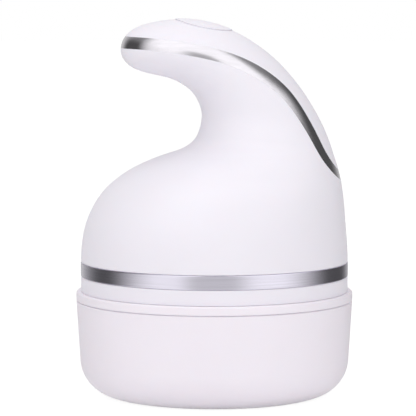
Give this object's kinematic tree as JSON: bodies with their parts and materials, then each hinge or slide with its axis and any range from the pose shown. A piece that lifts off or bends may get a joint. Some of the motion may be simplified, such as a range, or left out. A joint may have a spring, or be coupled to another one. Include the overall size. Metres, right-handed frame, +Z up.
{
  "type": "pet head massager",
  "caption": "Hook-handled white massager for pets with geared soft-fingered heads under a domed body, standing on its lift-off storage cup.",
  "frame": {"origin": "middle of the storage cup's underside, on the surface that it stands on", "axes": "+Z up through the body's axis, the hook's nose points to -X and its back is on +X"},
  "size_m": [0.0986, 0.0986, 0.1343],
  "materials": {
    "shell_white": "fine matte moulded white",
    "cup_white": "satin moulded white, slightly warmer than the body",
    "satin_silver": "satin silver with fine lengthwise brushing",
    "inner_plastic": "unpainted light grey moulding",
    "bush_bronze": "sintered bronze",
    "seal_rubber": "black rubber",
    "plug_silicone": "soft white silicone",
    "gear_plastic": "natural acetal",
    "pinion_brass": "cut brass",
    "steel": "bright plated steel",
    "motor_can": "plated can",
    "cell_wrap": "shrink wrap over a metal can",
    "board_green": "solder resist on glass laminate",
    "claw_silicone": "soft pale grey silicone"
  },
  "bodies": {
    "cover": {"cover_cup": "cup_white", "cover_collar": "cup_white"},
    "housing": {"main_housing": "shell_white", "handle_cover": "shell_white", "handle_trim": "satin_silver", "waist_band": "satin_silver", "lower_housing": "shell_white", "gearbox_cover": "inner_plastic", "lower_bushes": "bush_bronze", "upper_bushes": "bush_bronze", "shaft_seals": "seal_rubber", "gear_motor": "motor_can", "battery": "cell_wrap", "battery_cradle": "inner_plastic", "tact_switch": "inner_plastic", "circuit_board": "board_green", "charge_board": "board_green", "charge_socket": "steel", "body_screws": "steel", "motor_screws": "steel", "board_screws": "steel"},
    "button": {"power_button": "shell_white", "switch_plunger": "inner_plastic"},
    "motor_output": {"motor_shaft": "steel", "motor_pinion": "pinion_brass"},
    "charge_plug": {"port_plug": "plug_silicone"},
    "head_1": {"head_shaft_1": "steel", "head_gear_1": "gear_plastic", "drive_gear": "gear_plastic", "head_clip_1": "steel", "claw_hub_1": "inner_plastic", "claw_skin_1": "claw_silicone"},
    "head_2": {"head_shaft_2": "steel", "head_gear_2": "gear_plastic", "head_clip_2": "steel", "claw_hub_2": "inner_plastic", "claw_skin_2": "claw_silicone"},
    "head_3": {"head_shaft_3": "steel", "head_gear_3": "gear_plastic", "head_clip_3": "steel", "claw_hub_3": "inner_plastic", "claw_skin_3": "claw_silicone"},
    "head_4": {"head_shaft_4": "steel", "head_gear_4": "gear_plastic", "head_clip_4": "steel", "claw_hub_4": "inner_plastic", "claw_skin_4": "claw_silicone"}
  },
  "joints": [
    {"name": "lift_off", "type": "slide", "parent": "cover", "child": "housing", "axis": [0, 0, 1], "range_m": [0, 0.06]},
    {"name": "button_press", "type": "slide", "parent": "housing", "child": "button", "axis": [-0.1955, 0, -0.9807], "range_m": [0, 0.0008], "stiffness_N_per_m": 1500},
    {"name": "head_1_spin", "type": "hinge", "parent": "housing", "child": "head_1", "pos_m": [0.01772, 0.01772, 0.03], "axis": [0, 0, 1], "continuous": true},
    {"name": "head_2_spin", "type": "hinge", "parent": "housing", "child": "head_2", "pos_m": [-0.01772, 0.01772, 0.03], "axis": [0, 0, 1], "continuous": true},
    {"name": "head_3_spin", "type": "hinge", "parent": "housing", "child": "head_3", "pos_m": [-0.01772, -0.01772, 0.03], "axis": [0, 0, 1], "continuous": true},
    {"name": "head_4_spin", "type": "hinge", "parent": "housing", "child": "head_4", "pos_m": [0.01772, -0.01772, 0.03], "axis": [0, 0, 1], "continuous": true},
    {"name": "motor_spin", "type": "hinge", "parent": "housing", "child": "motor_output", "pos_m": [0.01105, -0.0006, 0.0408], "axis": [0, 0, 1], "continuous": true},
    {"name": "charge_plug_pull", "type": "slide", "parent": "housing", "child": "charge_plug", "axis": [1, 0, 0], "range_m": [0, 0.012]}
  ],
  "couplings": [
    {"joint": "head_2_spin", "follows": "head_1_spin", "ratio": -1},
    {"joint": "head_3_spin", "follows": "head_1_spin", "ratio": 1},
    {"joint": "head_4_spin", "follows": "head_1_spin", "ratio": -1},
    {"joint": "motor_spin", "follows": "head_1_spin", "ratio": -2.6667}
  ]
}
